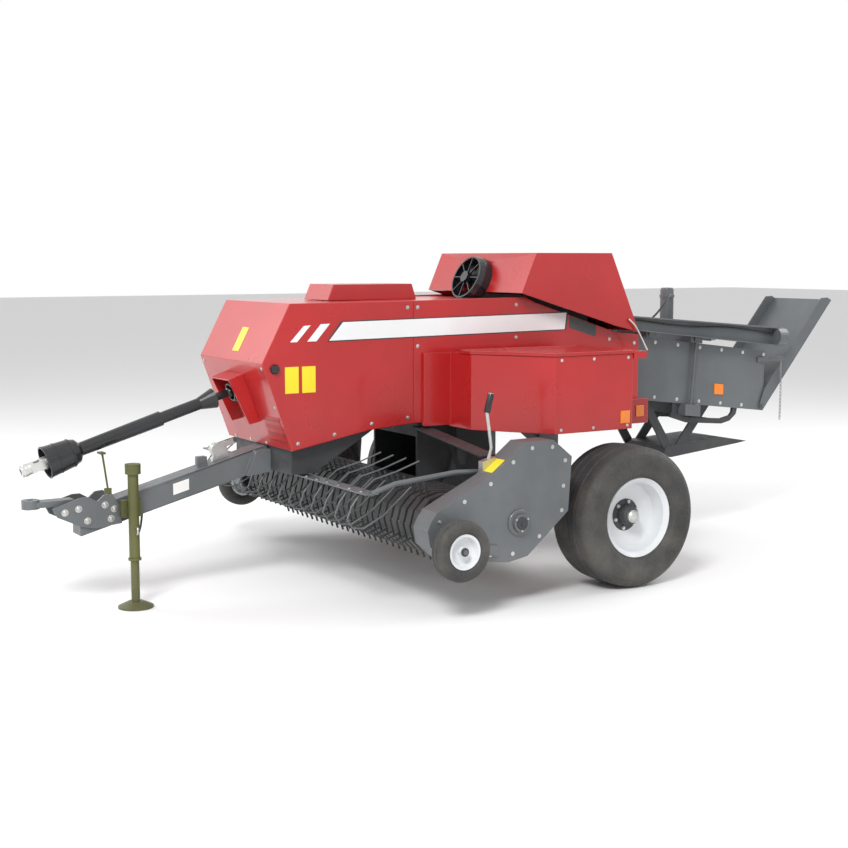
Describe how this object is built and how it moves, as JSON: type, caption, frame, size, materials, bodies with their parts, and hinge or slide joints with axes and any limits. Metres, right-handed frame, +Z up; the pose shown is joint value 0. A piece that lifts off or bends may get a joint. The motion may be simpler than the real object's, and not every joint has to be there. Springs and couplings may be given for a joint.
{
  "type": "small square baler",
  "caption": "Towed in-line small square baler with full-width pickup, sloping bale chamber, folded chute, twine boxes and two wheels.",
  "frame": {"origin": "centre of the whole machine's box, on the ground", "axes": "+Z up, +X the machine's left, -Y forward to the hitch, +Y rearward to the bale chute"},
  "size_m": [2.72, 5.5463, 1.845],
  "materials": {
    "red_paint": "gloss",
    "grey_paint": "satin",
    "dark_steel": "matte",
    "rim_silver": "satin",
    "tyre_rubber": "matte",
    "zinc_steel": "satin",
    "olive_paint": "satin",
    "black_plastic": "satin"
  },
  "bodies": {
    "frame": {"chassis": "dark_steel", "axle_beam": "grey_paint", "drawbar": "grey_paint", "hitch_plates": "grey_paint", "hitch_tongue": "grey_paint", "jack_sleeve": "olive_paint", "driveline_boot": "black_plastic", "driveline_guard": "red_paint", "driveline_stay": "olive_paint", "drawbar_lever": "zinc_steel", "front_shield": "red_paint", "side_shield_left": "red_paint", "side_shield_right": "red_paint", "top_deck": "red_paint", "top_box": "red_paint", "bale_chamber": "grey_paint", "feed_duct": "dark_steel", "gearbox_and_flywheel": "dark_steel", "knotters": "dark_steel", "density_clamp": "grey_paint", "density_crossbar": "grey_paint", "density_cylinder": "grey_paint", "density_hose": "black_plastic", "chute_chain": "zinc_steel", "lamp_arm_left": "grey_paint", "lamp_arm_right": "grey_paint", "needle_guard": "dark_steel", "needle_yoke": "dark_steel", "twine_box_left": "red_paint", "twine_box_right": "red_paint"},
    "wheel_left": {"main_rim_left": "rim_silver", "main_tyre_left": "tyre_rubber"},
    "wheel_right": {"main_rim_right": "rim_silver", "main_tyre_right": "tyre_rubber"},
    "pickup": {"pickup_frame": "dark_steel", "pickup_shield_left": "grey_paint", "pickup_shield_right": "grey_paint", "stripper_bands": "dark_steel", "gauge_arm_left": "grey_paint", "gauge_arm_right": "grey_paint", "pickup_crank": "zinc_steel"},
    "reel": {"pickup_reel": "dark_steel"},
    "windguard": {"windguard": "grey_paint"},
    "gauge_wheel_left": {"gauge_rim_left": "rim_silver", "gauge_tyre_left": "tyre_rubber"},
    "gauge_wheel_right": {"gauge_rim_right": "rim_silver", "gauge_tyre_right": "tyre_rubber"},
    "jack_leg": {"jack_leg": "olive_paint"},
    "driveline_rear": {"driveline_rear_tube": "black_plastic"},
    "driveline_front": {"driveline_front_tube": "black_plastic"},
    "driveline_yoke": {"driveline_yoke": "zinc_steel"},
    "chute": {"bale_chute": "grey_paint"},
    "lid_left": {"twine_lid_left": "red_paint"},
    "lid_right": {"twine_lid_right": "red_paint"},
    "hood": {"knotter_hood": "red_paint", "knotter_fan_guard": "black_plastic"},
    "fan": {"knotter_fan_rotor": "black_plastic"}
  },
  "joints": [
    {"name": "wheel_left_roll", "type": "hinge", "parent": "frame", "child": "wheel_left", "pos_m": [1.05, 0.2935, 0.3935], "axis": [1, 0, 0], "continuous": true},
    {"name": "wheel_right_roll", "type": "hinge", "parent": "frame", "child": "wheel_right", "pos_m": [-1.05, 0.2935, 0.3935], "axis": [1, 0, 0], "continuous": true},
    {"name": "pickup_lift", "type": "hinge", "parent": "frame", "child": "pickup", "pos_m": [0, -0.3065, 0.66], "axis": [1, 0, 0], "range_deg": [0, 19]},
    {"name": "reel_spin", "type": "hinge", "parent": "pickup", "child": "reel", "pos_m": [0, -0.8765, 0.44], "axis": [1, 0, 0], "continuous": true},
    {"name": "windguard_tilt", "type": "hinge", "parent": "pickup", "child": "windguard", "pos_m": [0, -0.6515, 0.705], "axis": [1, 0, 0], "range_deg": [0, 5]},
    {"name": "gauge_wheel_left_roll", "type": "hinge", "parent": "pickup", "child": "gauge_wheel_left", "pos_m": [1.31, -0.9595, 0.367], "axis": [1, 0, 0], "continuous": true},
    {"name": "gauge_wheel_right_roll", "type": "hinge", "parent": "pickup", "child": "gauge_wheel_right", "pos_m": [-1.31, -0.9595, 0.367], "axis": [1, 0, 0], "continuous": true},
    {"name": "jack_lift", "type": "slide", "parent": "frame", "child": "jack_leg", "axis": [0, 0, 1], "range_m": [0, 0.21]},
    {"name": "driveline_swing", "type": "hinge", "parent": "frame", "child": "driveline_rear", "pos_m": [0, -1.6115, 1.09], "axis": [-1, 0, 0], "range_deg": [0, 20]},
    {"name": "driveline_telescope", "type": "slide", "parent": "driveline_rear", "child": "driveline_front", "axis": [0, -0.9565, -0.2917], "range_m": [-0.08, 0.12]},
    {"name": "driveline_spin", "type": "hinge", "parent": "driveline_front", "child": "driveline_yoke", "pos_m": [0, -2.56802, 0.79833], "axis": [0, -0.9565, -0.2917], "continuous": true},
    {"name": "chute_fold", "type": "hinge", "parent": "frame", "child": "chute", "pos_m": [0, 2.1385, 0.83079], "axis": [-1, 0, 0], "range_deg": [0, 58]},
    {"name": "lid_left_open", "type": "hinge", "parent": "frame", "child": "lid_left", "pos_m": [0.524, 0.2935, 1.2993], "axis": [0, -1, 0], "range_deg": [0, 75]},
    {"name": "lid_right_open", "type": "hinge", "parent": "frame", "child": "lid_right", "pos_m": [-0.524, 0.2935, 1.2993], "axis": [0, 1, 0], "range_deg": [0, 75]},
    {"name": "hood_open", "type": "hinge", "parent": "frame", "child": "hood", "pos_m": [0, 0.8835, 1.385], "axis": [-1, 0, 0], "range_deg": [0, 60]},
    {"name": "fan_spin", "type": "hinge", "parent": "hood", "child": "fan", "pos_m": [0, -0.02443, 1.68215], "axis": [0, -0.9143, 0.4051], "continuous": true}
  ]
}
